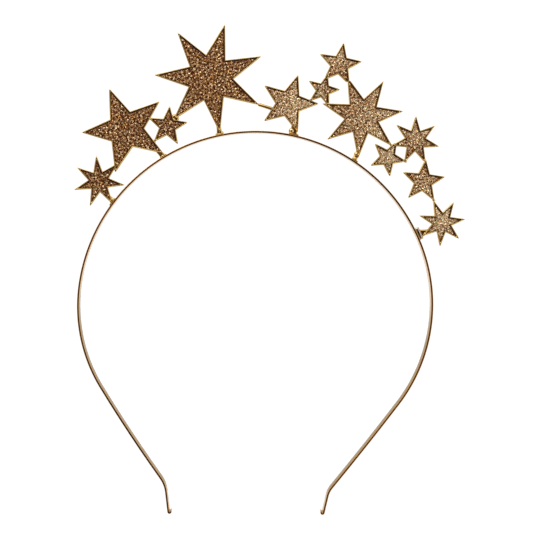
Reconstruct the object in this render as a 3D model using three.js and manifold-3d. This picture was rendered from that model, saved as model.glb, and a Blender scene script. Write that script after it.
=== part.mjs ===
// Star headband: a springy metal strip that goes over the head, with a spray of
// twelve glitter-filled stars soldered along its crown. Millimetres, +Z up.
// It lies on its side: the strip stands on its back edge and the stars face up.
// The origin is the middle of the crown, on the edge that the strip lies on.

import * as THREE from "three";
import { mergeVertices } from "three/addons/utils/BufferGeometryUtils.js";
import Module from "manifold-3d";

const wasm = await Module();
wasm.setup();

// Driving dimensions

const BAND_WIDTH = 5;
const BAND_THICKNESS = 0.8;
const CROWN_RADIUS = 69.9;
const ARC_STEP_DEG = 3;
const LEG_STEP_DEG = 1;
const BEND_STEP_DEG = 5;
const CURL_STEP_DEG = 30;

const STAR_BACK = 1.5;
const STAR_THICKNESS = 2;
const TRAY_FLOOR = 0.8;
const RIM_WIDTH = 0.45;
const TIP_ROUND = 0.3;
const TIP_SEGMENTS = 4;
const POCKET_TIP_ROUND = 0.15;
const POCKET_TIP_SEGMENTS = 2;

const INLAY_GAP = 0.3;
const INLAY_BELOW_RIM = 0.3;

const BEAD_RADIUS = 0.65;
const BEAD_SET_BACK = 0.5;
const BEAD_SIDES = 10;
const SOLDER_DEPTH = 1.4;

const WEDGE_DEPTH = 1.5;
const PLATE_BACK = 1;
const PLATE_DEPTH = 3;

// The strip's centre-line from the flat at the crown's middle to each tip. The strip is
// bent by hand, so its halves differ a little. A turn towards the inside is positive.

const BAND_HALVES = {
  right: [
    { stretch: "crown", radius: CROWN_RADIUS, turn: 66.4, step: ARC_STEP_DEG },
    { stretch: "side", radius: 64.5, turn: 56.9, step: ARC_STEP_DEG },
    { stretch: "leg", radius: 1215, turn: 2.0, step: LEG_STEP_DEG },
    { stretch: "bend", radius: 8.5, turn: -26.1, step: BEND_STEP_DEG },
    { stretch: "tip", length: 6.8 },
    { stretch: "curl", radius: 0.45, turn: 200, step: CURL_STEP_DEG },
  ],
  left: [
    { stretch: "crown", radius: CROWN_RADIUS, turn: 82.9, step: ARC_STEP_DEG },
    { stretch: "side", radius: 61.5, turn: 39.1, step: ARC_STEP_DEG },
    { stretch: "leg", radius: 592, turn: 4.15, step: LEG_STEP_DEG },
    { stretch: "bend", radius: 12.4, turn: -28.7, step: BEND_STEP_DEG },
    { stretch: "tip", length: 7.8 },
    { stretch: "curl", radius: 0.45, turn: 200, step: CURL_STEP_DEG },
  ],
};

// The stars from left to right: centre, how far the sharp points and the notches lie
// from it, the direction of point 0, and the filling. Points count anticlockwise.

const STARS = [
  { star: 1, points: 7, x: -63.8, y: -22.3, reach: 10.5, notch: 4.2, turn: 46.6, glitter: "bronze" },
  { star: 2, points: 5, x: -54.1, y: -1.5, reach: 17.5, notch: 7.3, turn: 42.4, glitter: "bronze" },
  { star: 3, points: 5, x: -37.8, y: 0.5, reach: 8.3, notch: 3.5, turn: 14.5, glitter: "bronze" },
  { star: 4, points: 7, x: -22.0, y: 20.2, reach: 22.1, notch: 9.2, turn: 25.5, glitter: "bronze" },
  { star: 5, points: 5, x: 9.2, y: 11.7, reach: 12.1, notch: 5.25, turn: 2.1, glitter: "champagne" },
  { star: 6, points: 5, x: 28.6, y: 27.8, reach: 9.1, notch: 3.85, turn: 10.6, glitter: "champagne" },
  { star: 7, points: 5, x: 22.5, y: 17.5, reach: 7.0, notch: 2.95, turn: 4.8, glitter: "champagne" },
  { star: 8, points: 7, x: 38.3, y: 7.9, reach: 16.7, notch: 7.05, turn: 10.1, glitter: "champagne" },
  { star: 9, points: 5, x: 49.2, y: -7.7, reach: 7.75, notch: 3.3, turn: 63.4, glitter: "champagne" },
  { star: 10, points: 7, x: 59.8, y: -0.5, reach: 10.0, notch: 4.35, turn: 40.1, glitter: "champagne" },
  { star: 11, points: 5, x: 63.7, y: -16.4, reach: 9.1, notch: 3.85, turn: 14.4, glitter: "champagne" },
  { star: 12, points: 7, x: 71.9, y: -32.3, reach: 9.7, notch: 4.05, turn: 11.0, glitter: "champagne" },
];

// Points that are soldered to a neighbouring star.

const SOLDERED_POINTS = [
  { star: 1, point: 0 },
  { star: 3, point: 2 },
  { star: 3, point: 3 },
  { star: 4, point: 4 },
  { star: 7, point: 3 },
  { star: 7, point: 1 },
  { star: 7, point: 4 },
  { star: 6, point: 4 },
  { star: 8, point: 6 },
  { star: 9, point: 4 },
  { star: 10, point: 5 },
  { star: 11, point: 4 },
];

// Feet: which point stands on the strip, how far the base runs to the left and to
// the right of it, how far the wedge climbs the arm, and how thick the base plate is.

const FEET = [
  { star: 1, point: 5, left: 1.0, right: 2.6, climb: 4.2, plate: 0.5 },
  { star: 2, point: 4, left: 2.0, right: 0.8, climb: 3.6, plate: 0.5 },
  { star: 4, point: 5, left: 1.7, right: 1.3, climb: 4.4, plate: 0.5 },
  { star: 5, point: 4, left: 3.4, right: 0.5, climb: 4.2, plate: 0.6 },
  { star: 8, point: 5, left: 2.2, right: 0.6, climb: 3.8, plate: 0.6 },
  { star: 12, point: 4, left: 4.0, right: 1.0, climb: 4.0, plate: 1.1 },
];

const LINK_BAR = {
  from: { star: 4, point: 6, climb: 0.9 },
  to: { star: 5, point: 3, climb: 7.2 },
  width: 1.4,
};

const TAB = { star: 4, point: 4, climb: 1.4, width: 3, length: 2 };

const GOLD = { color: 0xc89b4e, metalness: 1, roughness: 0.25 };

const GLITTER = {
  bronze: { color: 0x79583a, metalness: 0.6, roughness: 0.4 },
  champagne: { color: 0x997a58, metalness: 0.6, roughness: 0.4 },
};

// Solids and meshes

const MERGE_DISTANCE = 1e-4;

function solidOf(geometry) {
  const bare = geometry.index ? geometry.toNonIndexed() : geometry.clone();
  bare.deleteAttribute("normal");
  bare.deleteAttribute("uv");
  const merged = mergeVertices(bare, MERGE_DISTANCE);
  const mesh = new wasm.Mesh({
    numProp: 3,
    vertProperties: new Float32Array(merged.attributes.position.array),
    triVerts: new Uint32Array(merged.index.array),
  });
  return new wasm.Manifold(mesh);
}

function geometryOf(solid) {
  const mesh = solid.getMesh();
  const geometry = new THREE.BufferGeometry();
  geometry.setAttribute("position", new THREE.BufferAttribute(mesh.vertProperties, mesh.numProp));
  geometry.setIndex(new THREE.BufferAttribute(mesh.triVerts, 1));
  geometry.computeVertexNormals();
  return geometry;
}

function plate(shape, bottom, depth, curveSegments = 1) {
  const geometry = new THREE.ExtrudeGeometry(shape, { depth, bevelEnabled: false, curveSegments });
  return geometry.translate(0, 0, bottom);
}

// Band

function stripEdges(place, heading) {
  const outward = new THREE.Vector2(-Math.sin(heading), Math.cos(heading));
  outward.multiplyScalar(BAND_THICKNESS / 2);
  return { outer: place.clone().add(outward), inner: place.clone().sub(outward) };
}

function bandEdgePoints(route) {
  let heading = -THREE.MathUtils.degToRad(ARC_STEP_DEG / 2);
  const place = new THREE.Vector2(-CROWN_RADIUS * Math.sin(heading), 0);
  const edges = [stripEdges(place, heading)];
  for (const { length, radius, turn, step } of route) {
    const pieces = length ? 1 : Math.ceil(Math.abs(turn) / step);
    const turnEach = length ? 0 : THREE.MathUtils.degToRad(turn) / pieces;
    const chord = length ?? 2 * radius * Math.sin(Math.abs(turnEach) / 2);
    for (let i = 0; i < pieces; i += 1) {
      const along = heading - turnEach / 2;
      place.add(new THREE.Vector2(Math.cos(along), Math.sin(along)).multiplyScalar(chord));
      heading -= turnEach;
      edges.push(stripEdges(place, heading));
    }
  }
  return edges;
}

// The outline of one half, as on the right: down its outer face and back up its inner face.
function halfOutline(route) {
  const edges = bandEdgePoints(route);
  const outer = edges.map((edge) => edge.outer);
  const inner = edges.map((edge) => edge.inner);
  return [...outer, ...inner.reverse()];
}

function bandShape() {
  const right = halfOutline(BAND_HALVES.right);
  const left = halfOutline(BAND_HALVES.left).map((point) => new THREE.Vector2(-point.x, point.y));
  return new THREE.Shape([...right, ...left.reverse()]);
}

function onBand(angle, radius) {
  return new THREE.Vector2(radius * Math.sin(angle), radius * Math.cos(angle) - CROWN_RADIUS);
}

// Stars

const starByNumber = new Map(STARS.map((row) => [row.star, row]));

function pointAngle({ points, turn }, point) {
  return THREE.MathUtils.degToRad(turn + (360 / points) * point);
}

function onArm({ star, point, climb = 0 }) {
  const row = starByNumber.get(star);
  const angle = pointAngle(row, point);
  const radius = row.reach - climb;
  return new THREE.Vector2(row.x + radius * Math.cos(angle), row.y + radius * Math.sin(angle));
}

// The outline of a star whose edges lie inset from the full star's edges.
function starShape(row, inset, tipRound) {
  const { points, x, y, reach, notch } = row;
  const half = Math.PI / points;
  const edge = Math.hypot(reach - notch * Math.cos(half), notch * Math.sin(half));
  const edgeDistance = (reach * notch * Math.sin(half)) / edge;
  const scale = 1 - inset / edgeDistance;
  const halfTip = Math.asin((notch * Math.sin(half)) / edge);
  const roundRadius = reach * scale - tipRound / Math.sin(halfTip);
  const roundSweep = Math.PI / 2 - halfTip;
  const shape = new THREE.Shape();
  for (let point = 0; point < points; point += 1) {
    const angle = pointAngle(row, point);
    const roundX = x + roundRadius * Math.cos(angle);
    const roundY = y + roundRadius * Math.sin(angle);
    shape.absarc(roundX, roundY, tipRound, angle - roundSweep, angle + roundSweep);
    const notchRadius = notch * scale;
    shape.lineTo(x + notchRadius * Math.cos(angle + half), y + notchRadius * Math.sin(angle + half));
  }
  return shape;
}

function starBody(row) {
  return solidOf(plate(starShape(row, 0, TIP_ROUND), STAR_BACK, STAR_THICKNESS, TIP_SEGMENTS));
}

function starPocket(row) {
  const shape = starShape(row, RIM_WIDTH, POCKET_TIP_ROUND);
  return solidOf(plate(shape, STAR_BACK + TRAY_FLOOR, STAR_THICKNESS, POCKET_TIP_SEGMENTS));
}

function inlayGeometry(row) {
  const depth = STAR_THICKNESS - TRAY_FLOOR - INLAY_GAP - INLAY_BELOW_RIM;
  const shape = starShape(row, RIM_WIDTH + INLAY_GAP, POCKET_TIP_ROUND);
  return plate(shape, STAR_BACK + TRAY_FLOOR + INLAY_GAP, depth, POCKET_TIP_SEGMENTS);
}

// Feet, solder, bar and tab

function footSolid(foot) {
  const tip = onArm({ star: foot.star, point: foot.point });
  const landing = Math.atan2(tip.x, tip.y + CROWN_RADIUS);
  const first = landing - foot.left / CROWN_RADIUS;
  const last = landing + foot.right / CROWN_RADIUS;
  const wedge = new THREE.Shape([
    onBand(first, CROWN_RADIUS),
    onBand(last, CROWN_RADIUS),
    onArm(foot),
  ]);
  const plateTop = CROWN_RADIUS + BAND_THICKNESS / 2 + foot.plate;
  const base = new THREE.Shape([
    onBand(first, CROWN_RADIUS),
    onBand(last, CROWN_RADIUS),
    onBand(last, plateTop),
    onBand(first, plateTop),
  ]);
  const wedgeSolid = solidOf(plate(wedge, STAR_BACK, WEDGE_DEPTH));
  return wedgeSolid.add(solidOf(plate(base, PLATE_BACK, PLATE_DEPTH)));
}

function beadSolid(row) {
  const place = onArm({ ...row, climb: BEAD_SET_BACK });
  const bead = new THREE.CylinderGeometry(BEAD_RADIUS, BEAD_RADIUS, SOLDER_DEPTH, BEAD_SIDES);
  bead.rotateX(Math.PI / 2);
  bead.translate(place.x, place.y, STAR_BACK + STAR_THICKNESS / 2);
  return solidOf(bead);
}

function barSolid(start, end, width) {
  const span = end.clone().sub(start);
  const middle = start.clone().add(end).divideScalar(2);
  const bar = new THREE.BoxGeometry(span.length(), width, SOLDER_DEPTH);
  bar.rotateZ(span.angle());
  bar.translate(middle.x, middle.y, STAR_BACK + SOLDER_DEPTH / 2);
  return solidOf(bar);
}

function tabSolid() {
  const start = onArm({ ...TAB, climb: TAB.climb - TAB.length / 2 });
  const end = onArm({ ...TAB, climb: TAB.climb + TAB.length / 2 });
  return barSolid(start, end, TAB.width);
}

function frameGeometry() {
  const added = [
    ...STARS.map(starBody),
    ...FEET.map(footSolid),
    ...SOLDERED_POINTS.map(beadSolid),
    barSolid(onArm(LINK_BAR.from), onArm(LINK_BAR.to), LINK_BAR.width),
    tabSolid(),
  ];
  const band = solidOf(plate(bandShape(), 0, BAND_WIDTH));
  const joined = added.reduce((solid, piece) => solid.add(piece), band);
  const trays = STARS.map(starPocket).reduce((solid, pocket) => solid.subtract(pocket), joined);
  return geometryOf(trays);
}

// Headband

const frame = new THREE.Mesh(frameGeometry(), new THREE.MeshStandardMaterial(GOLD));
frame.name = "metal_frame";

const headband = new THREE.Group();
headband.add(frame);

for (const row of STARS) {
  const glitter = new THREE.MeshStandardMaterial(GLITTER[row.glitter]);
  const inlay = new THREE.Mesh(inlayGeometry(row), glitter);
  inlay.name = `glitter_star_${row.star}`;
  headband.add(inlay);
}

export default headband;
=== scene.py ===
"""Dresses the star headband: a gold-plated strip that carries twelve glitter-filled stars.

Every shape is modelled in millimetres with bmesh operators and scaled to metres once, when it
becomes a piece. All pieces ride on the headband's one body and stand for its solids.
"""

import logging
import math
from abc import ABC, abstractmethod
from dataclasses import dataclass
from enum import Enum, IntEnum

import bmesh
import bpy
import numpy as np
from mathutils import Matrix, Vector


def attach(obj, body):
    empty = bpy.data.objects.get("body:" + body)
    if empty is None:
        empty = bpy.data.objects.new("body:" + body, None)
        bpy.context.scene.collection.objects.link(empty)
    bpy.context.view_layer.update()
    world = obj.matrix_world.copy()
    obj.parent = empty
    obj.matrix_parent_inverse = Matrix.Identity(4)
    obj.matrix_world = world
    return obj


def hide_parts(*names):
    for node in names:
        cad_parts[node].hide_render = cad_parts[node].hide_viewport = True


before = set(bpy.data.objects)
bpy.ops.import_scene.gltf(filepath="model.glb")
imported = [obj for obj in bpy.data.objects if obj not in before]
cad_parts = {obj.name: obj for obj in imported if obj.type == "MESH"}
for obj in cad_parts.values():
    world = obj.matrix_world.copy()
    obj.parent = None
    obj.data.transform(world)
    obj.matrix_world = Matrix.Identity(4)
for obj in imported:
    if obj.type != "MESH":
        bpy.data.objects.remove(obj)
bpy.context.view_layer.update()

LOG = logging.getLogger("star_headband")
MM = 0.001
MERGE_DISTANCE = 1e-4
SHARP_DEG = 40.0
BODY = "root"
FRAME_NODE = "metal_frame"
FLAKE_TINT = "flake_tint"
FLAKE_SEED = 1100
ORDER_LINE = (0.6137, 0.5471, 0.5693)
ROUND_SEGMENTS = 3
BALL_SUBDIVISIONS = 3

Element = bmesh.types.BMVert | bmesh.types.BMEdge | bmesh.types.BMFace


class Slot(Enum):
    """The record's material slots."""

    GOLD = "gold_plate"
    BRONZE = "bronze_glitter"
    CHAMPAGNE = "champagne_glitter"


class MixIn(IntEnum):
    """Inputs of the mix node, by number, because their names repeat."""

    SHARE = 0
    NUMBER_A = 2
    NUMBER_B = 3
    COLOUR_A = 6
    COLOUR_B = 7


class MixOut(IntEnum):
    """Outputs of the mix node, by number."""

    NUMBER = 0
    COLOUR = 2


# Shared helpers


def linear(code: str) -> tuple[float, float, float, float]:
    """Turns an sRGB hex colour into the linear colour that shaders use, by the sRGB standard's curve.

    Args:
        code: Six hex digits.

    Returns:
        Linear red, green and blue, with an alpha of 1.
    """
    channels = [int(code[i:i + 2], 16) / 255 for i in (0, 2, 4)]
    curve = [c / 12.92 if c <= 0.04045 else ((c + 0.055) / 1.055) ** 2.4 for c in channels]
    return (curve[0], curve[1], curve[2], 1.0)


def per_metre(size_mm: float) -> float:
    """Gives the texture scale whose features measure size_mm."""
    return 1.0 / (size_mm * MM)


def add_node(
    tree: bpy.types.NodeTree, kind: str, inputs: dict[str | int, object] | None = None, **settings: object
) -> bpy.types.Node:
    """Adds a node with its settings, input values and links.

    Args:
        tree: The node tree.
        kind: The node's type name.
        inputs: Values by input name or number; an output socket becomes a link.
        **settings: Properties of the node.

    Returns:
        The new node.
    """
    node = tree.nodes.new(kind)
    for name, value in settings.items():
        setattr(node, name, value)
    for key, value in (inputs or {}).items():
        if isinstance(value, bpy.types.NodeSocket):
            tree.links.new(value, node.inputs[key])
        else:
            node.inputs[key].default_value = value
    return node


def new_vertices(grown: list[Element]) -> list[bmesh.types.BMVert]:
    """Picks the vertices out of an operator's result."""
    return [item for item in grown if isinstance(item, bmesh.types.BMVert)]


def loop_through(vertices: list[bmesh.types.BMVert]) -> list[bmesh.types.BMEdge]:
    """Finds the edges whose two ends are both among some vertices.

    Args:
        vertices: The vertices of a loop.

    Returns:
        The loop's edges.
    """
    wanted = set(vertices)
    # A dict keeps the order that its keys came in, and a set doesn't.
    edges = dict.fromkeys(edge for vertex in vertices for edge in vertex.link_edges)
    return [edge for edge in edges if all(end in wanted for end in edge.verts)]


def move_loop(
    mesh: bmesh.types.BMesh, edges: list[bmesh.types.BMEdge], centre: Vector, scale: float, height: float
) -> list[bmesh.types.BMEdge]:
    """Extrudes a level loop to another height, scaled about a centre.

    Args:
        mesh: The mesh that holds the loop.
        edges: The loop's edges.
        centre: The point that the loop is scaled about.
        scale: The new loop's size beside the old one's.
        height: The new loop's height.

    Returns:
        The new loop's edges.
    """
    grown = new_vertices(bmesh.ops.extrude_edge_only(mesh, edges=edges)["geom"])
    space = Matrix.Translation(-centre)
    bmesh.ops.scale(mesh, vec=(scale, scale, 1.0), space=space, verts=grown)
    bmesh.ops.translate(mesh, vec=(0.0, 0.0, height - grown[0].co.z), verts=grown)
    return loop_through(grown)


def place_piece(
    name: str, data: bpy.types.Mesh, material: bpy.types.Material, node: str
) -> None:
    """Puts a finished mesh on the headband as a piece that rides on it and stands for a solid.

    Args:
        name: The piece's name.
        data: The mesh, in metres, in the headband's frame.
        material: The piece's finish.
        node: The solid that the piece stands for.
    """
    data.materials.append(material)
    piece = bpy.data.objects.new(name, data)
    bpy.context.scene.collection.objects.link(piece)
    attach(piece, BODY)
    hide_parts(node)
    LOG.info("%s: %d faces for %s", name, len(data.polygons), node)


def settle_order(mesh: bmesh.types.BMesh) -> None:
    """Numbers a mesh's parts along a slanted line, because the operators' own order differs between runs.

    Args:
        mesh: The mesh.
    """
    slant = Vector(ORDER_LINE)
    mesh.verts.sort(key=lambda vertex: vertex.co.dot(slant))
    mesh.edges.sort(key=lambda edge: (edge.verts[0].co + edge.verts[1].co).dot(slant))
    mesh.faces.sort(key=lambda face: face.calc_center_median().dot(slant))


def make_piece(
    name: str, mesh: bmesh.types.BMesh, material: bpy.types.Material,
    node: str = FRAME_NODE,
) -> None:
    """Turns a mesh in millimetres into a piece in metres that stands for a solid.

    Args:
        name: The piece's name.
        mesh: The finished mesh, which is freed.
        material: The piece's finish.
        node: The solid that the piece stands for.
    """
    bmesh.ops.recalc_face_normals(mesh, faces=mesh.faces)
    settle_order(mesh)
    bmesh.ops.scale(mesh, vec=(MM, MM, MM), verts=mesh.verts)
    data = bpy.data.meshes.new(name)
    mesh.to_mesh(data)
    mesh.free()
    data.shade_smooth()
    data.set_sharp_from_angle(angle=math.radians(SHARP_DEG))
    place_piece(name, data, material, node)


# Finishes


@dataclass(frozen=True)
class Finish(ABC):
    """A surface's finish, which becomes a material of the same name."""

    name: str

    @abstractmethod
    def shader(self, tree: bpy.types.NodeTree) -> bpy.types.Node:
        """Adds the finish's nodes.

        Args:
            tree: The material's empty node tree.

        Returns:
            The shader's node.
        """

    def material(self) -> bpy.types.Material:
        """Makes the material.

        Returns:
            The material, with the finish's nodes.
        """
        material = bpy.data.materials.new(self.name)
        material.use_nodes = True
        tree = material.node_tree
        tree.nodes.clear()
        surface = self.shader(tree).outputs["BSDF"]
        add_node(tree, "ShaderNodeOutputMaterial", {"Surface": surface})
        return material


@dataclass(frozen=True)
class BrightMetal(Finish):
    """Polished metal, plated or bare, that mirrors the room in its own colour.

    It is a little cloudier where it was polished less, and a faint ripple breaks its highlights.
    """

    bright: str
    deep: str
    smooth: float = 0.12
    cloudy: float = 0.22
    cloud_mm: float = 4.0
    cloud_detail: float = 3.0
    cloud_span: tuple[float, float] = (0.3, 0.7)
    ripple_mm: float = 0.9
    ripple_detail: float = 2.0
    ripple_height_mm: float = 0.02
    ripple_strength: float = 0.25

    def shader(self, tree: bpy.types.NodeTree) -> bpy.types.Node:
        """Adds the metal's nodes.

        Args:
            tree: The material's empty node tree.

        Returns:
            The shader's node.
        """
        place = add_node(tree, "ShaderNodeTexCoord").outputs["Object"]
        cloud = add_node(tree, "ShaderNodeTexNoise", {
            "Vector": place, "Scale": per_metre(self.cloud_mm), "Detail": self.cloud_detail,
        }).outputs["Fac"]
        tone = add_node(tree, "ShaderNodeMix", {
            MixIn.SHARE: cloud, MixIn.COLOUR_A: linear(self.bright), MixIn.COLOUR_B: linear(self.deep),
        }, data_type="RGBA").outputs[MixOut.COLOUR]
        rough = add_node(tree, "ShaderNodeMapRange", {
            "Value": cloud, "From Min": self.cloud_span[0], "From Max": self.cloud_span[1],
            "To Min": self.smooth, "To Max": self.cloudy,
        }).outputs["Result"]
        ripple = add_node(tree, "ShaderNodeTexNoise", {
            "Vector": place, "Scale": per_metre(self.ripple_mm), "Detail": self.ripple_detail,
        }).outputs["Fac"]
        bump = add_node(tree, "ShaderNodeBump", {
            "Height": ripple, "Strength": self.ripple_strength,
            "Distance": self.ripple_height_mm * MM,
        }).outputs["Normal"]
        return add_node(tree, "ShaderNodeBsdfPrincipled", {
            "Base Color": tone, "Metallic": 1.0, "Roughness": rough, "Normal": bump,
        } | self.painted_reflection_shade(tree, place))

    def painted_reflection_shade(self, tree: bpy.types.NodeTree, place: bpy.types.NodeSocket) -> dict[str, bpy.types.NodeSocket]:
        """Adds no painted shade.

        Args:
            tree: The metal's node tree, which is not used here.
            place: The object coordinates, which are not used here.

        Returns:
            The shader's inputs that painted shade changes, none here.
        """
        return {}


@dataclass(frozen=True)
class PaintedShadePlate(BrightMetal):
    """Gold electroplate whose reflection is painted dimmer down the legs, and less so at the tips.

    This painted shade stands for the shaded floor beside the legs, which they mirror. Those stretches mirror
    less where they are seen almost edge-on.
    """

    lit_tint: str = "ffffff"
    shaded_tint: str = "bec0c0"
    lit_above_mm: float = -55.0
    shaded_below_mm: float = -80.0
    shaded_above_mm: float = -138.0
    lit_below_mm: float = -145.0
    tip_lightness: float = 0.7

    def painted_reflection_shade(self, tree: bpy.types.NodeTree, place: bpy.types.NodeSocket) -> dict[str, bpy.types.NodeSocket]:
        """Paints shade into the plate's reflection, graded from lit to shaded along the strip.

        Args:
            tree: The plate's node tree.
            place: The object coordinates.

        Returns:
            The shader's inputs that the painted shade changes.
        """
        # Painted shade: the specular tint dims the plate's reflection down the legs, where they mirror
        # shaded floor.
        along = add_node(tree, "ShaderNodeSeparateXYZ", {"Vector": place}).outputs["Y"]
        above = add_node(tree, "ShaderNodeMapRange", {
            "Value": along, "From Min": self.shaded_below_mm * MM, "From Max": self.lit_above_mm * MM,
        }, interpolation_type="SMOOTHSTEP").outputs["Result"]
        below = add_node(tree, "ShaderNodeMapRange", {
            "Value": along, "From Min": self.shaded_above_mm * MM, "From Max": self.lit_below_mm * MM,
            "To Max": self.tip_lightness,
        }, interpolation_type="SMOOTHSTEP").outputs["Result"]
        lit_share = add_node(tree, "ShaderNodeMath", {0: above, 1: below}, operation="ADD").outputs["Value"]
        tint = add_node(tree, "ShaderNodeMix", {
            MixIn.SHARE: lit_share,
            MixIn.COLOUR_A: linear(self.shaded_tint),
            MixIn.COLOUR_B: linear(self.lit_tint),
        }, data_type="RGBA").outputs[MixOut.COLOUR]
        return {"Specular Tint": tint}


# Gold electroplate on cast zinc alloy: warm and mirror-bright, with pale lines along the round rims
CAST_PLATE = BrightMetal("gold_plated_zinc_alloy", bright="d3b77a", deep="be9f5c")
# Gold electroplate on spring steel: redder than the castings, in one long line, its reflection painted
# dimmer down the legs
STRIP_PLATE = PaintedShadePlate("gold_plated_spring_steel", bright="d9b070", deep="c59858")
# Soft solder under thin plate: paler than what it joins, and clouded in small patches
PLATED_SOLDER = BrightMetal("pale_gold_solder", bright="e2cd9a", deep="caae76", cloud_mm=0.8)
# Bare soft solder: silvery and smooth, so that it mirrors black and white side by side
BARE_SOLDER = BrightMetal(
    "bare_silver_solder", bright="d0d0d0", deep="a8a8ac", cloud_mm=0.8,
    smooth=0.05, cloudy=0.1, ripple_strength=0.05,
)


@dataclass(frozen=True)
class GlitterResin(Finish):
    """Clear-brown resin that holds the glitter, full of fine glitter dust.

    It gives the eye the dark brown that shows between the flakes, with small specks of metal.
    """

    dark: str
    speck: str
    speck_mm: float = 0.3
    speck_share: float = 0.35
    roughness: float = 0.35

    def shader(self, tree: bpy.types.NodeTree) -> bpy.types.Node:
        """Adds the resin's nodes.

        Args:
            tree: The material's empty node tree.

        Returns:
            The shader's node.
        """
        place = add_node(tree, "ShaderNodeTexCoord").outputs["Object"]
        cells = add_node(tree, "ShaderNodeTexVoronoi", {
            "Vector": place, "Scale": per_metre(self.speck_mm),
        }).outputs["Color"]
        chance = add_node(tree, "ShaderNodeSeparateColor", {"Color": cells}).outputs["Red"]
        share = add_node(tree, "ShaderNodeMapRange", {
            "Value": chance, "From Min": 1.0 - self.speck_share, "From Max": 1.0,
        }).outputs["Result"]
        tone = add_node(tree, "ShaderNodeMix", {
            MixIn.SHARE: share, MixIn.COLOUR_A: linear(self.dark), MixIn.COLOUR_B: linear(self.speck),
        }, data_type="RGBA").outputs[MixOut.COLOUR]
        return add_node(tree, "ShaderNodeBsdfPrincipled", {
            "Base Color": tone, "Metallic": share, "Roughness": self.roughness,
        })


@dataclass(frozen=True)
class GlitterFlakes(Finish):
    """Hexagonal glitter cut from metallised polyester film.

    Each flake has a tint of its own and mirrors one small part of the room, so that neighbours
    flash or go dark. The tint's alpha is how scuffed the flake is.
    """

    dark: str
    middle: str
    bright: str
    dark_share: float
    bright_share: float
    tint_spread: float = 0.25
    metallic: float = 0.8
    smooth: float = 0.2
    scuffed: float = 0.44

    def shader(self, tree: bpy.types.NodeTree) -> bpy.types.Node:
        """Adds the flakes' nodes.

        Args:
            tree: The material's empty node tree.

        Returns:
            The shader's node.
        """
        tint = add_node(tree, "ShaderNodeAttribute", attribute_name=FLAKE_TINT)
        rough = add_node(tree, "ShaderNodeMapRange", {
            "Value": tint.outputs["Alpha"], "To Min": self.smooth, "To Max": self.scuffed,
        }).outputs["Result"]
        return add_node(tree, "ShaderNodeBsdfPrincipled", {
            "Base Color": tint.outputs["Color"], "Metallic": self.metallic, "Roughness": rough,
        })

    def tints(self, ranks: np.ndarray, random: np.random.Generator) -> np.ndarray:
        """Gives each flake a tint.

        Args:
            ranks: A rank for each flake, from 0, the darkest, to 1.
            random: The seeded source of chance.

        Returns:
            A row of red, green, blue and scuffing for each flake.
        """
        palette = np.array([linear(self.dark), linear(self.middle), linear(self.bright)])
        tints = palette[np.searchsorted((self.dark_share, 1.0 - self.bright_share), ranks)]
        shades = random.uniform(1.0 - self.tint_spread, 1.0 + self.tint_spread, size=(len(ranks), 1))
        tints[:, :3] *= shades
        tints[:, 3] = random.uniform(0.0, 1.0, size=len(ranks))
        return np.clip(tints, 0.0, 1.0)


@dataclass(frozen=True)
class LightTable(Finish):
    """A white acrylic light table: matt, lit from below and nearly even, with a faint mottle.

    Its glow keeps the pale floor free of hard shadows, as behind the real headband.
    """

    name: str = "white_acrylic_light_table"
    light: str = "f9f9f9"
    shade: str = "f5f5f5"
    mottle_mm: float = 6.0
    body: str = "6e6e6e"
    roughness: float = 0.95
    glow: float = 1.05

    def shader(self, tree: bpy.types.NodeTree) -> bpy.types.Node:
        """Adds the table's nodes.

        Args:
            tree: The material's empty node tree.

        Returns:
            The shader's node.
        """
        place = add_node(tree, "ShaderNodeTexCoord").outputs["Object"]
        mottle = add_node(tree, "ShaderNodeTexNoise", {
            "Vector": place, "Scale": per_metre(self.mottle_mm),
        }).outputs["Fac"]
        tone = add_node(tree, "ShaderNodeMix", {
            MixIn.SHARE: mottle, MixIn.COLOUR_A: linear(self.light), MixIn.COLOUR_B: linear(self.shade),
        }, data_type="RGBA").outputs[MixOut.COLOUR]
        return add_node(tree, "ShaderNodeBsdfPrincipled", {
            "Base Color": linear(self.body), "Roughness": self.roughness,
            "Emission Color": tone, "Emission Strength": self.glow,
        })


class Filling(Enum):
    """What a star is filled with: its slot, its resin and its flakes."""

    BRONZE = (
        Slot.BRONZE,
        GlitterResin("bronze_glitter_resin", dark="441a08", speck="96663a"),
        GlitterFlakes(
            "bronze_polyester_glitter", dark="5c2d10", middle="b8844c", bright="eed2a6",
            dark_share=0.34, bright_share=0.25,
        ),
    )
    CHAMPAGNE = (
        Slot.CHAMPAGNE,
        GlitterResin("champagne_glitter_resin", dark="4c200c", speck="bd9460"),
        GlitterFlakes(
            "champagne_polyester_glitter", dark="824a20", middle="e0b278", bright="f8e0b8",
            dark_share=0.23, bright_share=0.48,
        ),
    )

    @property
    def slot(self) -> Slot:
        """The record's slot for the filling."""
        return self.value[0]

    @property
    def resin(self) -> GlitterResin:
        """The finish of the bed."""
        return self.value[1]

    @property
    def flakes(self) -> GlitterFlakes:
        """The finish of the flakes."""
        return self.value[2]


# Band


@dataclass(frozen=True)
class Stretch:
    """A stretch of the strip's centre-line: a straight length, or a radius and a turn to the inside."""

    name: str
    length: float = 0.0
    radius: float = 0.0
    turn_deg: float = 0.0
    steps: int = 1


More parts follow.
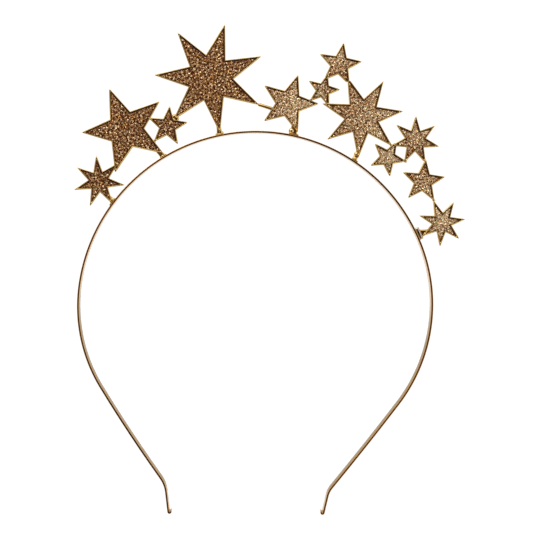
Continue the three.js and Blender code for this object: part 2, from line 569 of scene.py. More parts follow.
@dataclass(frozen=True)
class Band:
    """The springy strip that goes over the head, standing on its back edge, with rolled tips.

    It is bent by hand, so its halves differ a little.
    """

    width: float = 5.0
    thickness: float = 0.8
    crown_radius: float = 69.9
    edge_round: float = 0.14
    edge_segments: int = 4
    right: tuple[Stretch, ...] = (
        Stretch("crown", radius=69.9, turn_deg=67.9, steps=57),
        Stretch("side", radius=64.5, turn_deg=56.9, steps=47),
        Stretch("leg", radius=1215.0, turn_deg=2.0, steps=4),
        Stretch("bend", radius=8.5, turn_deg=-26.1, steps=14),
        Stretch("tip", length=6.8),
        Stretch("curl", radius=0.45, turn_deg=200.0, steps=18),
    )
    left: tuple[Stretch, ...] = (
        Stretch("crown", radius=69.9, turn_deg=84.4, steps=70),
        Stretch("side", radius=61.5, turn_deg=39.1, steps=33),
        Stretch("leg", radius=592.0, turn_deg=4.15, steps=6),
        Stretch("bend", radius=12.4, turn_deg=-28.7, steps=14),
        Stretch("tip", length=7.8),
        Stretch("curl", radius=0.45, turn_deg=200.0, steps=18),
    )

    def on_arc(self, angle: float, rise: float = 0.0) -> Vector:
        """Gives a point on the crown, by its angle from the middle, and above its centre-line by rise."""
        radius = self.crown_radius + rise
        return Vector((radius * math.sin(angle), radius * math.cos(angle) - self.crown_radius, 0.0))

    def section(self, mesh: bmesh.types.BMesh) -> list[bmesh.types.BMEdge]:
        """Makes the strip's rounded section at the crown's middle.

        Args:
            mesh: The mesh to make it in.

        Returns:
            The section's edges.
        """
        upright = Matrix.Rotation(math.radians(90), 4, "Z") @ Matrix.Rotation(math.radians(90), 4, "X")
        sized = Matrix.Diagonal((self.thickness, self.width, 1.0, 1.0))
        raised = Matrix.Translation((0.0, 0.0, self.width / 2))
        bmesh.ops.create_grid(mesh, x_segments=1, y_segments=1, size=0.5, matrix=raised @ upright @ sized)
        bmesh.ops.bevel(
            mesh, geom=mesh.verts[:], offset=self.edge_round, offset_type="OFFSET",
            segments=self.edge_segments, profile=0.5, affect="VERTICES", material=-1,
        )
        bmesh.ops.delete(mesh, geom=mesh.faces[:], context="FACES_ONLY")
        return mesh.edges[:]

    def sweep(
        self, mesh: bmesh.types.BMesh, edges: list[bmesh.types.BMEdge], route: tuple[Stretch, ...], side: int
    ) -> None:
        """Sweeps the section along one half and closes its end.

        Args:
            mesh: The strip's mesh.
            edges: The section's edges, at the crown's middle.
            route: The half's stretches, from the crown's middle to the tip.
            side: 1 for the right half and -1 for the left.
        """
        place = Vector((0.0, 0.0, 0.0))
        heading = 0.0
        for stretch in route:
            if stretch.length:
                ahead = Vector((side * math.cos(heading), math.sin(heading), 0.0)) * stretch.length
                grown = new_vertices(bmesh.ops.extrude_edge_only(mesh, edges=edges)["geom"])
                bmesh.ops.translate(mesh, vec=ahead, verts=grown)
                edges = loop_through(grown)
                place = place + ahead
            else:
                turn = math.radians(stretch.turn_deg)
                inside = Vector((side * math.sin(heading), -math.cos(heading), 0.0))
                centre = place + inside * math.copysign(stretch.radius, turn)
                corners = list(dict.fromkeys(end for edge in edges for end in edge.verts))
                spun = bmesh.ops.spin(
                    mesh, geom=corners + edges, cent=centre, axis=(0.0, 0.0, 1.0), dvec=(0.0, 0.0, 0.0),
                    angle=-side * turn, steps=stretch.steps, use_merge=False, use_duplicate=False,
                )["geom_last"]
                edges = loop_through(new_vertices(spun))
                place = centre + Matrix.Rotation(-side * turn, 3, "Z") @ (place - centre)
                heading -= turn
            LOG.debug("strip: the %s ends at %.1f, %.1f mm", stretch.name, place.x, place.y)
        bmesh.ops.edgeloop_fill(mesh, edges=edges)

    def build(self, material: bpy.types.Material) -> None:
        """Sweeps both halves from one section and makes the piece.

        Args:
            material: The strip's finish.
        """
        mesh = bmesh.new()
        middle = self.section(mesh)
        self.sweep(mesh, middle, self.right, 1)
        self.sweep(mesh, middle, self.left, -1)
        bmesh.ops.remove_doubles(mesh, verts=mesh.verts[:], dist=MERGE_DISTANCE)
        make_piece("band_strip", mesh, material)


# Stars


@dataclass(frozen=True)
class Trim:
    """How far a soldered point is cut back from its sharp end, to butt against its neighbour."""

    point: int
    back: float


@dataclass(frozen=True)
class RimStep:
    """A step of the tray's wall: how far inside the star's edge it lies, and its height."""

    inset: float
    height: float


@dataclass(frozen=True)
class Star:
    """One cast star: where it lies, its reach to the points and to the notches, and its filling.

    Points count anticlockwise from the one that turn_deg gives the direction of. The glitter was
    strewn by hand: pale is how many more pale flakes a star has. Drift is painted light and shade:
    it gathers the pale flakes on the side that light would brighten, and the dark ones on the other.
    """

    number: int
    points: int
    x: float
    y: float
    reach: float
    notch: float
    turn_deg: float
    filling: Filling
    trims: tuple[Trim, ...] = ()
    pale: float = 0.0
    painted_light_side: tuple[float, float] = (0.0, 0.0)
    tip_back: float = 0.45
    tip_segments: int = 4
    back_inset: float = 0.12
    bed_inset: float = 0.42
    flake_margin: float = 0.42
    back_z: float = 1.5
    bed_z: float = 2.45
    wall: tuple[RimStep, ...] = (
        RimStep(0.0, 1.62), RimStep(0.0, 3.22), RimStep(0.06, 3.38), RimStep(0.14, 3.47),
        RimStep(0.20, 3.50), RimStep(0.26, 3.50), RimStep(0.33, 3.46), RimStep(0.41, 3.36),
        RimStep(0.45, 3.22), RimStep(0.45, 2.40),
    )
    bed: tuple[RimStep, ...] = (
        RimStep(0.42, 2.60), RimStep(0.55, 2.72), RimStep(0.80, 2.95), RimStep(1.0, 3.0),
    )

    @property
    def node(self) -> str:
        """The solid that the filling stands for."""
        return f"glitter_star_{self.number}"

    @property
    def centre(self) -> Vector:
        """The star's centre, on the floor."""
        return Vector((self.x, self.y, 0.0))

    @property
    def half_step(self) -> float:
        """The angle from a point to the next notch."""
        return math.pi / self.points

    @property
    def edge_length(self) -> float:
        """The length of an edge from a sharp point to a notch."""
        along = self.reach - self.notch * math.cos(self.half_step)
        return math.hypot(along, self.notch * math.sin(self.half_step))

    @property
    def edge_distance(self) -> float:
        """How far the line of each edge passes from the centre."""
        return self.reach * self.notch * math.sin(self.half_step) / self.edge_length

    @property
    def half_tip(self) -> float:
        """Half the angle of a sharp point."""
        return math.asin(self.notch * math.sin(self.half_step) / self.edge_length)

    def scale_at(self, inset: float) -> float:
        """Gives the size, beside the whole star's, of the star that lies inset from its edges."""
        return 1.0 - inset / self.edge_distance

    def direction(self, point: int) -> Vector:
        """Gives the direction of a point from the centre."""
        angle = math.radians(self.turn_deg) + 2.0 * self.half_step * point
        return Vector((math.cos(angle), math.sin(angle), 0.0))

    def on_arm(self, point: int, climb: float = 0.0) -> Vector:
        """Gives the place on an arm's middle line that lies climb back from its sharp end."""
        return self.centre + self.direction(point) * (self.reach - climb)

    def outline(self, mesh: bmesh.types.BMesh, inset: float, height: float) -> list[bmesh.types.BMEdge]:
        """Makes the star's outline, with its points rounded off.

        Args:
            mesh: The mesh to make it in.
            inset: How far the outline lies inside the star's edges.
            height: The outline's height.

        Returns:
            The outline's edges.
        """
        scale = self.scale_at(inset)
        # The operator's circle starts at +Y, a quarter turn past +X.
        turned = Matrix.Rotation(math.radians(self.turn_deg - 90.0), 4, "Z")
        placed = Matrix.Translation((self.x, self.y, height)) @ turned
        ring = bmesh.ops.create_circle(
            mesh, segments=2 * self.points, radius=self.reach * scale, matrix=placed
        )["verts"]
        tips = ring[0::2]
        notches = ring[1::2]
        inward = self.notch / self.reach
        space = Matrix.Translation((-self.x, -self.y, 0.0))
        bmesh.ops.scale(mesh, vec=(inward, inward, 1.0), space=space, verts=notches)
        # A round of this profile stands 2 - sqrt 2 of its offset, along the arm, behind the sharp end.
        offset = self.tip_back * scale / ((2.0 - math.sqrt(2.0)) * math.cos(self.half_tip))
        made = bmesh.ops.bevel(
            mesh, geom=tips, offset=offset, offset_type="OFFSET", segments=self.tip_segments,
            profile=0.5, affect="VERTICES", material=-1,
        )
        return loop_through(made["verts"] + notches)

    def raise_steps(
        self, mesh: bmesh.types.BMesh, edges: list[bmesh.types.BMEdge], inset: float,
        steps: tuple[RimStep, ...],
    ) -> list[bmesh.types.BMEdge]:
        """Extrudes an outline through the steps of a wall.

        Args:
            mesh: The mesh that holds the outline.
            edges: The outline's edges.
            inset: The outline's inset.
            steps: The wall's steps, in order.

        Returns:
            The last step's edges.
        """
        scale = self.scale_at(inset)
        for step in steps:
            next_scale = self.scale_at(step.inset)
            edges = move_loop(mesh, edges, self.centre, next_scale / scale, step.height)
            scale = next_scale
        return edges

    def cut_trims(self, mesh: bmesh.types.BMesh) -> None:
        """Cuts the soldered points back and closes the cuts.

        Args:
            mesh: The tray's or the bed's mesh.
        """
        for trim in self.trims:
            cut = bmesh.ops.bisect_plane(
                mesh, geom=mesh.verts[:] + mesh.edges[:] + mesh.faces[:], dist=MERGE_DISTANCE,
                plane_co=self.on_arm(trim.point, trim.back), plane_no=self.direction(trim.point),
                clear_outer=True,
            )["geom_cut"]
            edges = [item for item in cut if isinstance(item, bmesh.types.BMEdge)]
            if edges:
                bmesh.ops.edgeloop_fill(mesh, edges=edges)

    def build_tray(self, material: bpy.types.Material) -> None:
        """Casts the star's tray, with its rounded rim.

        Args:
            material: The tray's finish.
        """
        mesh = bmesh.new()
        edges = self.outline(mesh, self.back_inset, self.back_z)
        bmesh.ops.edgeloop_fill(mesh, edges=edges)
        edges = self.raise_steps(mesh, edges, self.back_inset, self.wall)
        bmesh.ops.edgeloop_fill(mesh, edges=edges)
        self.cut_trims(mesh)
        make_piece(f"star_tray_{self.number}", mesh, material)

    def build_bed(self, material: bpy.types.Material) -> None:
        """Pours the resin bed, which dips a little along the rim.

        Args:
            material: The resin's finish.
        """
        mesh = bmesh.new()
        edges = self.outline(mesh, self.bed_inset, self.bed_z)
        bmesh.ops.edgeloop_fill(mesh, edges=edges)
        edges = self.raise_steps(mesh, edges, self.bed_inset, self.bed)
        bmesh.ops.edgeloop_fill(mesh, edges=edges)
        self.cut_trims(mesh)
        make_piece(f"glitter_bed_{self.number}", mesh, material, self.node)

    def holds(self, places: np.ndarray, inset: float) -> np.ndarray:
        """Tells which places lie inside the star by at least inset.

        Args:
            places: Rows of x and y from the star's centre.
            inset: The least distance to the star's edges.

        Returns:
            True for each place that does.
        """
        radius = np.hypot(places[:, 0], places[:, 1])
        step = 2.0 * self.half_step
        angle = (np.arctan2(places[:, 1], places[:, 0]) - math.radians(self.turn_deg)) % step
        folded = np.minimum(angle, step - angle)
        normal = math.acos(self.edge_distance / self.reach)
        inside = radius * np.cos(normal - folded) <= self.edge_distance - inset
        for trim in self.trims:
            inside &= places @ np.array(self.direction(trim.point).xy) <= self.reach - trim.back - inset
        return inside & (radius <= (self.reach - self.tip_back) * self.scale_at(inset))


def about_z(angles: np.ndarray) -> np.ndarray:
    """Makes a rotation about Z for each angle.

    Args:
        angles: The angles, in radians.

    Returns:
        A rotation matrix for each angle.
    """
    cos = np.cos(angles)
    sin = np.sin(angles)
    zero = np.zeros_like(angles)
    one = np.ones_like(angles)
    return np.stack([cos, -sin, zero, sin, cos, zero, zero, zero, one], axis=-1).reshape(-1, 3, 3)


@dataclass(frozen=True)
class FlakeScatter:
    """How glitter flakes lie in a bed: their size, their spacing and how far they tip.

    They are shifted a little towards the lower left, which leaves a band of dark resin bare along the upper
    and right rims as painted shade.
    """

    sides: int = 6
    size: float = 0.2
    size_spread: float = 0.25
    thickness: float = 0.03
    spacing: float = 0.29
    jitter: float = 0.24
    shade_shift: tuple[float, float] = (-0.1, -0.1)
    grain_steps: int = 1
    even_steps: int = 6
    height: float = 3.05
    height_spread: float = 0.045
    most_height_spread: float = 0.1
    tilt_deg: float = 18.0
    most_tilt_deg: float = 38.0

    def chip(self) -> tuple[np.ndarray, list[list[int]]]:
        """Cuts one flake of unit radius.

        Returns:
            The flake's corners, and the corner numbers of each of its faces.
        """
        mesh = bmesh.new()
        depth = self.thickness / self.size
        bmesh.ops.create_cone(
            mesh, cap_ends=True, segments=self.sides, radius1=1.0, radius2=1.0, depth=depth
        )
        bmesh.ops.recalc_face_normals(mesh, faces=mesh.faces)
        mesh.verts.index_update()
        corners = np.array([vertex.co[:] for vertex in mesh.verts])
        faces = [[vertex.index for vertex in face.verts] for face in mesh.faces]
        mesh.free()
        return corners, faces

    def scatter(self, star: Star, random: np.random.Generator) -> tuple[np.ndarray, np.ndarray]:
        """Scatters flakes over a star's bed, and ranks them so that neighbours differ.

        Args:
            star: The star to fill.
            random: The seeded source of chance.

        Returns:
            Rows of x and y from the star's centre, and a rank for each, mostly from 0 to 1.
        """
        row = self.spacing * math.sqrt(3.0) / 2.0
        count = int(star.reach / row) + 1
        down, across = np.mgrid[-count:count + 1, -2 * count:2 * count + 1]
        grid = np.stack([(across + down / 2.0) * self.spacing, down * row], axis=-1).reshape(-1, 2)
        grid += random.normal(0.0, self.jitter * self.spacing, size=grid.shape)
        # Painted shade: the shifted flakes leave dark resin bare along the upper and right rims.
        held = star.holds(grid - np.array(self.shade_shift), star.bed_inset + star.flake_margin)
        luck = random.normal(size=down.shape)
        grain = self.blend(luck, self.grain_steps) - self.blend(luck, self.even_steps)
        order = grain.reshape(-1)[held].argsort().argsort() / held.sum()
        # Painted light and shade: the ranks lean towards the star's lit side, so that pale flakes gather
        # there.
        return grid[held], order + star.pale + grid[held] @ np.array(star.painted_light_side) / star.reach

    def blend(self, luck: np.ndarray, steps: int) -> np.ndarray:
        """Averages each flake's luck with its six neighbours', a number of times.

        Args:
            luck: A number for each place on the slanted grid.
            steps: How many times.

        Returns:
            The averaged numbers.
        """
        sides = ((0, 0), (0, 1), (0, -1), (1, 0), (-1, 0), (1, -1), (-1, 1))
        for _ in range(steps):
            luck = sum(np.roll(luck, side, axis=(0, 1)) for side in sides) / len(sides)
        return luck

    def turns(self, count: int, random: np.random.Generator) -> np.ndarray:
        """Draws how each flake is turned: spun, tipped, and tipped towards any side.

        Args:
            count: How many flakes there are.
            random: The seeded source of chance.

        Returns:
            A rotation matrix for each flake.
        """
        tilt = np.abs(random.normal(0.0, self.tilt_deg, count))
        tilt = np.radians(np.minimum(tilt, self.most_tilt_deg))
        spin, lean = random.uniform(0.0, 2.0 * math.pi, (2, count))
        # With its rows and columns moved on by two, a rotation about Z is one about Y.
        tip = np.roll(about_z(tilt), 2, axis=(1, 2))
        return about_z(lean) @ tip @ about_z(spin)

    def build(self, star: Star, material: bpy.types.Material) -> None:
        """Lays a star's flakes as one joined mesh.

        Args:
            star: The star to fill.
            material: The flakes' finish.
        """
        random = np.random.default_rng(FLAKE_SEED + star.number)
        places, ranks = self.scatter(star, random)
        count = len(places)
        sizes = self.size * random.uniform(1.0 - self.size_spread, 1.0 + self.size_spread, count)
        rises = random.normal(0.0, self.height_spread, count)
        heights = self.height + np.clip(rises, -self.most_height_spread, self.most_height_spread)
        corners, faces = self.chip()
        turned = np.einsum("nij,vj->nvi", self.turns(count, random), corners) * sizes[:, None, None]
        centres = np.column_stack([places + np.array([star.x, star.y]), heights])
        vertices = ((turned + centres[:, None, :]) * MM).reshape(-1, 3)
        first = np.arange(count) * len(corners)
        joined = [[base + index for index in face] for base in first for face in faces]
        name = f"glitter_flakes_{star.number}"
        data = bpy.data.meshes.new(name)
        data.from_pydata(vertices.tolist(), [], joined)
        tints = np.repeat(star.filling.flakes.tints(ranks, random), len(corners), axis=0)
        layer = data.color_attributes.new(FLAKE_TINT, "FLOAT_COLOR", "POINT")
        layer.data.foreach_set("color", tints.astype(np.float32).ravel())
        data.update()
        place_piece(name, data, material, star.node)


STARS = (
    Star(1, 7, -63.8, -22.3, 10.5, 4.2, 46.6, Filling.BRONZE, (Trim(0, 1.6),)),
    Star(2, 5, -54.1, -1.5, 17.5, 7.3, 42.4, Filling.BRONZE),
    Star(3, 5, -37.8, 0.5, 8.3, 3.5, 14.5, Filling.BRONZE),
    Star(4, 7, -22.0, 20.2, 22.1, 9.2, 25.5, Filling.BRONZE, (Trim(4, 1.7),)),
    Star(5, 5, 9.2, 11.7, 12.1, 5.25, 2.1, Filling.CHAMPAGNE, pale=0.08, painted_light_side=(0.3, -0.05)),
    Star(
        6, 5, 28.6, 27.8, 9.1, 3.85, 10.6, Filling.CHAMPAGNE,
        (Trim(3, 1.6), Trim(4, 1.8)), painted_light_side=(-0.1, 0.4),
    ),
    Star(
        7, 5, 22.5, 17.5, 7.0, 2.95, 4.8, Filling.CHAMPAGNE,
        (Trim(1, 1.6), Trim(4, 1.3)), painted_light_side=(-0.15, -0.05),
    ),
    Star(8, 7, 38.3, 7.9, 16.7, 7.05, 10.1, Filling.CHAMPAGNE, (Trim(2, 1.9),), painted_light_side=(0.3, -0.05)),
    Star(9, 5, 49.2, -7.7, 7.75, 3.3, 63.4, Filling.CHAMPAGNE, (Trim(0, 1.4),), pale=0.3, painted_light_side=(0.1, 0.3)),
    Star(
        10, 7, 59.8, -0.5, 10.0, 4.35, 40.1, Filling.CHAMPAGNE,
        (Trim(3, 1.3), Trim(5, 1.3)), painted_light_side=(0.2, 0.35),
    ),
    Star(11, 5, 63.7, -16.4, 9.1, 3.85, 14.4, Filling.CHAMPAGNE, painted_light_side=(0.25, -0.3)),
    Star(12, 7, 71.9, -32.3, 9.7, 4.05, 11.0, Filling.CHAMPAGNE, pale=0.18, painted_light_side=(0.15, 0.4)),
)
STAR_BY_NUMBER = {star.number: star for star in STARS}


# Feet, solder, bar and tab


def left_of(along: Vector) -> Vector:
    """Gives the level direction that is square to another, on its left."""
    return Vector((-along.y, along.x, 0.0)).normalized()


def add_block(
    mesh: bmesh.types.BMesh, middle: Vector, along: Vector, size: tuple[float, float, float], rounding: float
) -> None:
    """Adds a level block with rounded edges.

    Args:
        mesh: The mesh to add it to.
        middle: The block's middle.
        along: The direction of its length.
        size: Its length, width and height.
        rounding: The radius of its edges.
    """
    turned = Matrix.Rotation(math.atan2(along.y, along.x), 4, "Z")
    placed = Matrix.Translation(middle) @ turned @ Matrix.Diagonal((*size, 1.0))
    made = bmesh.ops.create_cube(mesh, size=1.0, matrix=placed)["verts"]
    bmesh.ops.bevel(
        mesh, geom=loop_through(made), offset=rounding, offset_type="OFFSET", segments=ROUND_SEGMENTS,
        profile=0.5, affect="EDGES", material=-1, clamp_overlap=True,
    )


@dataclass(frozen=True)
class Lump:
    """A rounded lump of solder by a foot: how far along the strip, how far above it, and its radius."""

    along: float
    rise: float
    radius: float


@dataclass(frozen=True)
class Foot:
    """A flared foot that stands a star's point on the strip, with a base plate and solder by it.

    Left and right are how far its base reaches along the strip from below the point, climb how far
    the flare reaches up the arm, and plate how thick the base plate is. Pad is how far out from the
    strip's centre-line a flat pad of solder lies, where there is one.
    """

    star: int
    point: int
    left: float
    right: float
    climb: float
    plate: float
    lumps: tuple[Lump, ...] = ()
    pad: float = 0.0
    flare_power: float = 3.0
    flare_rows: int = 8
    flare_z: tuple[float, float] = (1.5, 3.0)
    flare_round: float = 0.5
    flare_top: float = 0.7
    sharp_deg: float = 57.0
    plate_z: tuple[float, float] = (1.0, 4.0)
    plate_round: float = 0.18
    lump_z: float = 2.3
    lump_height: float = 0.95
    pad_size: tuple[float, float, float] = (4.8, 1.3, 0.9)
    pad_z: float = 3.75
    pad_round: float = 0.36

    def build(
        self, band: Band, material: bpy.types.Material, solder: bpy.types.Material, bare: bpy.types.Material
    ) -> None:
        """Makes the flare and its base plate as one piece, and the solder by them.

        Args:
            band: The strip that the foot stands on.
            material: The foot's finish.
            solder: The lumps' finish.
            bare: The pad's finish.
        """
        star = STAR_BY_NUMBER[self.star]
        sharp = star.on_arm(self.point)
        landing = math.atan2(sharp.x, sharp.y + band.crown_radius)
        first = band.on_arc(landing - self.left / band.crown_radius)
        last = band.on_arc(landing + self.right / band.crown_radius)
        mesh = bmesh.new()
        self.add_flare(mesh, first, last, star)
        self.add_plate(mesh, band, first, last)
        make_piece(f"foot_{self.star}", mesh, material)
        self.build_lumps(band, landing, solder)
        if self.pad:
            self.build_pad(first, last, bare)

    def build_lumps(self, band: Band, landing: float, solder: bpy.types.Material) -> None:
        """Makes the lumps of solder by the foot as one piece.

        Args:
            band: The strip that the foot stands on.
            landing: The foot's angle on the crown.
            solder: The solder's finish.
        """
        mesh = bmesh.new()
        for lump in self.lumps:
            place = band.on_arc(landing + lump.along / band.crown_radius, lump.rise)
            place.z = self.lump_z
            sized = Matrix.Diagonal((lump.radius, lump.radius, self.lump_height, 1.0))
            placed = Matrix.Translation(place) @ sized
            bmesh.ops.create_icosphere(mesh, subdivisions=BALL_SUBDIVISIONS, radius=1.0, matrix=placed)
        make_piece(f"foot_solder_{self.star}", mesh, solder)

    def build_pad(self, first: Vector, last: Vector, bare: bpy.types.Material) -> None:
        """Makes the flat pad of bare solder that lies on the base plate, along the strip.

        Args:
            first: Where the base begins, on the strip's centre-line.
            last: Where the base ends.
            bare: The pad's finish.
        """
        along = last - first
        middle = (first + last) / 2.0 + left_of(along) * self.pad
        middle.z = self.pad_z
        mesh = bmesh.new()
        add_block(mesh, middle, along, self.pad_size, self.pad_round)
        make_piece(f"foot_pad_{self.star}", mesh, bare)

    def add_flare(self, mesh: bmesh.types.BMesh, first: Vector, last: Vector, star: Star) -> None:
        """Adds the flare, which narrows in a hollow curve from the strip to the arm.

        Args:
            mesh: The foot's mesh.
            first: Where the base begins, on the strip's centre-line.
            last: Where the base ends.
            star: The star that the foot carries.
        """
        base = (first + last) / 2.0
        apex = star.on_arm(self.point, self.climb)
        arm_width = 2.0 * self.climb * math.tan(star.half_tip)
        top_share = arm_width * self.flare_top / (last - first).length
        lift = Vector((0.0, 0.0, self.flare_z[0]))
        ends = [bmesh.ops.create_vert(mesh, co=end + lift)["vert"][0] for end in (first, last)]
        edge = bmesh.ops.contextual_create(mesh, geom=ends)["edges"]
        share_before = 1.0
        faces = []
        for row in range(1, self.flare_rows + 1):
            share = top_share + (1.0 - top_share) * (1.0 - row / self.flare_rows) ** self.flare_power
            grown = bmesh.ops.extrude_edge_only(mesh, edges=edge)["geom"]
            tops = new_vertices(grown)
            middle = (tops[0].co + tops[1].co) / 2.0
            bmesh.ops.scale(
                mesh, vec=(share / share_before,) * 3, space=Matrix.Translation(-middle), verts=tops
            )
            bmesh.ops.translate(mesh, vec=(apex - base) / self.flare_rows, verts=tops)
            edge = loop_through(tops)
            faces += [item for item in grown if isinstance(item, bmesh.types.BMFace)]
            share_before = share
        grown = bmesh.ops.extrude_face_region(mesh, geom=faces)["geom"]
        depth = self.flare_z[1] - self.flare_z[0]
        bmesh.ops.translate(mesh, vec=(0.0, 0.0, depth), verts=new_vertices(grown))
        bmesh.ops.recalc_face_normals(mesh, faces=mesh.faces)
        settle_order(mesh)
        sharp = math.radians(self.sharp_deg)
        rims = [edge for edge in mesh.edges if edge.is_manifold and edge.calc_face_angle() > sharp]
        bmesh.ops.bevel(
            mesh, geom=rims, offset=self.flare_round, offset_type="OFFSET", segments=ROUND_SEGMENTS,
            profile=0.5, affect="EDGES", material=-1, clamp_overlap=True,
        )

    def add_plate(self, mesh: bmesh.types.BMesh, band: Band, first: Vector, last: Vector) -> None:
        """Adds the base plate, which lies along the strip's outer face.

        Args:
            mesh: The foot's mesh.
            band: The strip that the foot stands on.
            first: Where the base begins, on the strip's centre-line.
            last: Where the base ends.
        """
        along = last - first
        rise = band.thickness / 2.0 + self.plate
        middle = (first + last) / 2.0 + left_of(along) * rise / 2.0
        middle.z = sum(self.plate_z) / 2.0
        size = (along.length, rise, self.plate_z[1] - self.plate_z[0])
        add_block(mesh, middle, along, size, self.plate_round)


FEET = (
    Foot(1, 5, left=1.0, right=2.6, climb=4.2, plate=0.5, lumps=(Lump(1.4, 1.2, 0.85),)),
    Foot(
        2, 4, left=2.0, right=0.8, climb=3.6, plate=0.5,
        lumps=(Lump(-0.9, 0.8, 0.75), Lump(-1.8, 0.45, 0.5)),
    ),
    Foot(
        4, 5, left=1.7, right=1.3, climb=4.4, plate=0.5,
        lumps=(Lump(-1.4, 0.8, 0.5), Lump(0.9, 1.0, 0.65)),
    ),
    Foot(5, 4, left=3.4, right=0.5, climb=4.2, plate=0.6, lumps=(Lump(-2.5, 1.9, 1.2),)),
    Foot(
        8, 5, left=2.2, right=0.6, climb=3.8, plate=0.6,
        lumps=(Lump(-1.5, 3.1, 1.0), Lump(-1.2, 1.5, 0.75)),
    ),
    Foot(
        12, 4, left=4.0, right=1.0, climb=4.0, plate=1.6,
        lumps=(Lump(-0.5, 3.3, 0.7),), pad=1.1, flare_power=1.6,
    ),
)


@dataclass(frozen=True)
class ArmPlace:
    """A place on the middle line of a star's arm, climb back from the arm's sharp end."""

    star: int
    point: int
    climb: float

    @property
    def place(self) -> Vector:
        """The place, seen from above."""
        return STAR_BY_NUMBER[self.star].on_arm(self.point, self.climb)

    @property
    def along(self) -> Vector:
        """The arm's direction."""
        return STAR_BY_NUMBER[self.star].direction(self.point)


@dataclass(frozen=True)
class StarLinks:
    """What joins stars to each other: beads of solder, the bar from star 4 to star 5, and a tab."""

    bead_points: tuple[tuple[int, int], ...] = (
        (1, 0), (3, 2), (3, 3), (4, 4), (7, 3), (7, 1), (7, 4), (6, 4), (8, 6), (9, 4), (10, 5), (11, 4),
    )
    bead_radius: float = 0.65
    bead_back: float = 0.5
    bead_z: float = 2.5
    bead_flatness: float = 1.15
    low_z: float = 1.5
    depth: float = 1.4
    bar_start: ArmPlace = ArmPlace(4, 6, 0.9)
    bar_end: ArmPlace = ArmPlace(5, 3, 7.2)
    bar_width: float = 1.4
    tab: ArmPlace = ArmPlace(4, 4, 1.4)
    tab_size: tuple[float, float] = (2.0, 3.0)
    edge_round: float = 0.64

    def build(self, material: bpy.types.Material, solder: bpy.types.Material) -> None:
        """Makes the beads, the bar and the tab.

        Args:
            material: The bar's and the tab's finish.
            solder: The beads' finish.
        """
        self.build_beads(solder)
        start = self.bar_start.place
        end = self.bar_end.place
        bar_size = ((end - start).length, self.bar_width, self.depth)
        self.build_block("link_bar", (start + end) / 2.0, end - start, bar_size, material)
        tab_size = (*self.tab_size, self.depth)
        self.build_block("tab_plate", self.tab.place, self.tab.along, tab_size, material)

    def build_beads(self, material: bpy.types.Material) -> None:
        """Makes a rounded bead at each soldered point.

        Args:
            material: The beads' finish.
        """
        mesh = bmesh.new()
        for star, point in self.bead_points:
            place = ArmPlace(star, point, self.bead_back).place
            place.z = self.bead_z
            placed = Matrix.Translation(place) @ Matrix.Diagonal((1.0, 1.0, self.bead_flatness, 1.0))
            bmesh.ops.create_icosphere(
                mesh, subdivisions=BALL_SUBDIVISIONS, radius=self.bead_radius, matrix=placed
            )
        make_piece("solder_beads", mesh, material)

    def build_block(
        self, name: str, middle: Vector, along: Vector, size: tuple[float, float, float],
        material: bpy.types.Material,
    ) -> None:
        """Makes the bar or the tab as a rounded block.

        Args:
            name: The piece's name.
            middle: The block's middle, seen from above.
            along: The direction of its length.
            size: Its length, width and height.
            material: Its finish.
        """
        mesh = bmesh.new()
        raised = Vector((middle.x, middle.y, self.low_z + self.depth / 2.0))
        add_block(mesh, raised, along, size, self.edge_round)
        make_piece(name, mesh, material)


# Studio


@dataclass(frozen=True)
class SoftBox:
    """A soft studio light that points at the crown: where it stands, its size and its power."""

    name: str
    place: tuple[float, float, float]
    size: float
    power: float

    def build(self) -> None:
        """Hangs the light and points it at the middle of the crown, which is the origin."""
        light = bpy.data.lights.new(self.name, "AREA")
        light.size = self.size
        light.energy = self.power
        lamp = bpy.data.objects.new(self.name, light)
        lamp.location = self.place
        lamp.rotation_euler = (-Vector(self.place)).to_track_quat("-Z", "Y").to_euler()
        bpy.context.scene.collection.objects.link(lamp)


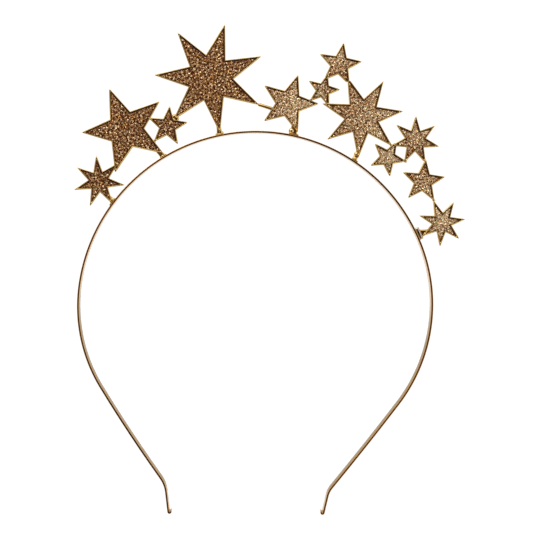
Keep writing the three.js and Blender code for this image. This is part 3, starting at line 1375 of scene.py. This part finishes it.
@dataclass(frozen=True)
class Studio:
    """A white table under a bright tent that is dark at one side, and open and dim above the headband.

    A dark bar, which carries the camera, crosses the opening.
    """

    camera_place: tuple[float, float, float] = (-7.634, -35.43, 505.0)
    camera_aim: tuple[float, float, float] = (4.78, -53.93, 5.0)
    camera_up: tuple[float, float, float] = (-0.0440, 0.9983, -0.0384)
    focal_length: float = 84.93
    sensor: float = 36.0
    floor_size: float = 12.0
    floor_drop: float = 0.05
    tent_light: float = 1.3
    tent_dark: float = 0.05
    tent_slope: tuple[float, float, float] = (0.7, 0.7, 0.0)
    tent_span: tuple[float, float] = (-0.9, 0.5)
    tent_tint: str = "ffffff"
    opening_dark: float = 0.0
    opening_light: float = 0.19
    bar_across: tuple[float, float, float] = (-0.75, 0.66, 0.0)
    bar_offset: float = -0.055
    bar_edge: tuple[float, float] = (0.05, 0.12)
    opening_tint: str = "ffb878"
    opening_edge: tuple[float, float] = (0.77, 0.93)
    lights: tuple[SoftBox, ...] = (
        SoftBox("soft_box_key", (-0.5, 0.9, 0.8), 1.1, 7.0),
    )

    def build(self) -> None:
        """Sets up the camera, the table and the light."""
        self.build_camera()
        self.build_floor()
        self.build_tent()
        for light in self.lights:
            light.build()
        bpy.context.scene.view_settings.view_transform = "Standard"

    def build_camera(self) -> None:
        """Places the camera as the photograph's was."""
        place = Vector(self.camera_place) * MM
        aim = Vector(self.camera_aim) * MM
        back = (place - aim).normalized()
        right = Vector(self.camera_up).cross(back).normalized()
        turned = Matrix((right, back.cross(right), back)).transposed().to_4x4()
        lens = bpy.data.cameras.new("camera")
        lens.lens = self.focal_length
        lens.sensor_width = self.sensor
        camera = bpy.data.objects.new("camera", lens)
        camera.matrix_world = Matrix.Translation(place) @ turned
        bpy.context.scene.collection.objects.link(camera)
        bpy.context.scene.camera = camera

    def build_floor(self) -> None:
        """Lays the light table under the strip's back edge."""
        mesh = bmesh.new()
        lowered = Matrix.Translation((0.0, 0.0, -self.floor_drop * MM))
        bmesh.ops.create_grid(mesh, x_segments=1, y_segments=1, size=self.floor_size / 2, matrix=lowered)
        data = bpy.data.meshes.new("floor")
        mesh.to_mesh(data)
        mesh.free()
        data.materials.append(LightTable().material())
        floor = bpy.data.objects.new("floor", data)
        bpy.context.scene.collection.objects.link(floor)

    def build_tent(self) -> None:
        """Makes the world a bright tent with a dim opening overhead."""
        world = bpy.data.worlds.new("light_tent")
        world.use_nodes = True
        tree = world.node_tree
        tree.nodes.clear()
        way = add_node(tree, "ShaderNodeTexCoord").outputs["Generated"]
        height = add_node(tree, "ShaderNodeSeparateXYZ", {"Vector": way}).outputs["Z"]
        sideways = add_node(tree, "ShaderNodeVectorMath", {
            0: way, 1: self.tent_slope,
        }, operation="DOT_PRODUCT").outputs["Value"]
        walls = add_node(tree, "ShaderNodeMapRange", {
            "Value": sideways, "From Min": self.tent_span[0], "From Max": self.tent_span[1],
            "To Min": self.tent_dark, "To Max": self.tent_light,
        }, interpolation_type="SMOOTHSTEP").outputs["Result"]
        across = add_node(tree, "ShaderNodeVectorMath", {
            0: way, 1: self.bar_across,
        }, operation="DOT_PRODUCT").outputs["Value"]
        from_bar = add_node(tree, "ShaderNodeMath", {
            0: across, 1: self.bar_offset,
        }, operation="SUBTRACT").outputs["Value"]
        distance = add_node(tree, "ShaderNodeMath", {0: from_bar}, operation="ABSOLUTE").outputs["Value"]
        opening = add_node(tree, "ShaderNodeMapRange", {
            "Value": distance, "From Min": self.bar_edge[0], "From Max": self.bar_edge[1],
            "To Min": self.opening_dark, "To Max": self.opening_light,
        }).outputs["Result"]
        open_share = add_node(tree, "ShaderNodeMapRange", {
            "Value": height, "From Min": self.opening_edge[0], "From Max": self.opening_edge[1],
        }, interpolation_type="SMOOTHSTEP").outputs["Result"]
        strength = add_node(tree, "ShaderNodeMix", {
            MixIn.SHARE: open_share, MixIn.NUMBER_A: walls, MixIn.NUMBER_B: opening,
        }, data_type="FLOAT").outputs[MixOut.NUMBER]
        tint = add_node(tree, "ShaderNodeMix", {
            MixIn.SHARE: open_share,
            MixIn.COLOUR_A: linear(self.tent_tint),
            MixIn.COLOUR_B: linear(self.opening_tint),
        }, data_type="RGBA").outputs[MixOut.COLOUR]
        sky = add_node(tree, "ShaderNodeBackground", {"Color": tint, "Strength": strength})
        add_node(tree, "ShaderNodeOutputWorld", {"Surface": sky.outputs["Background"]})
        bpy.context.scene.world = world


def main() -> None:
    """Builds the headband and its studio, piece by piece."""
    logging.basicConfig(level=logging.INFO, format="%(name)s %(message)s")
    LOG.info("frame: %d solids", len(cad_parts))
    Studio().build()
    gold = CAST_PLATE.material()
    solder = PLATED_SOLDER.material()
    bare = BARE_SOLDER.material()
    band = Band()
    band.build(STRIP_PLATE.material())
    finishes = {filling: (filling.resin.material(), filling.flakes.material()) for filling in Filling}
    scatter = FlakeScatter()
    for star in STARS:
        resin, flakes = finishes[star.filling]
        star.build_tray(gold)
        star.build_bed(resin)
        scatter.build(star, flakes)
    for foot in FEET:
        foot.build(band, gold, solder, bare)
    StarLinks().build(gold, solder)


if __name__ == "__main__":
    main()
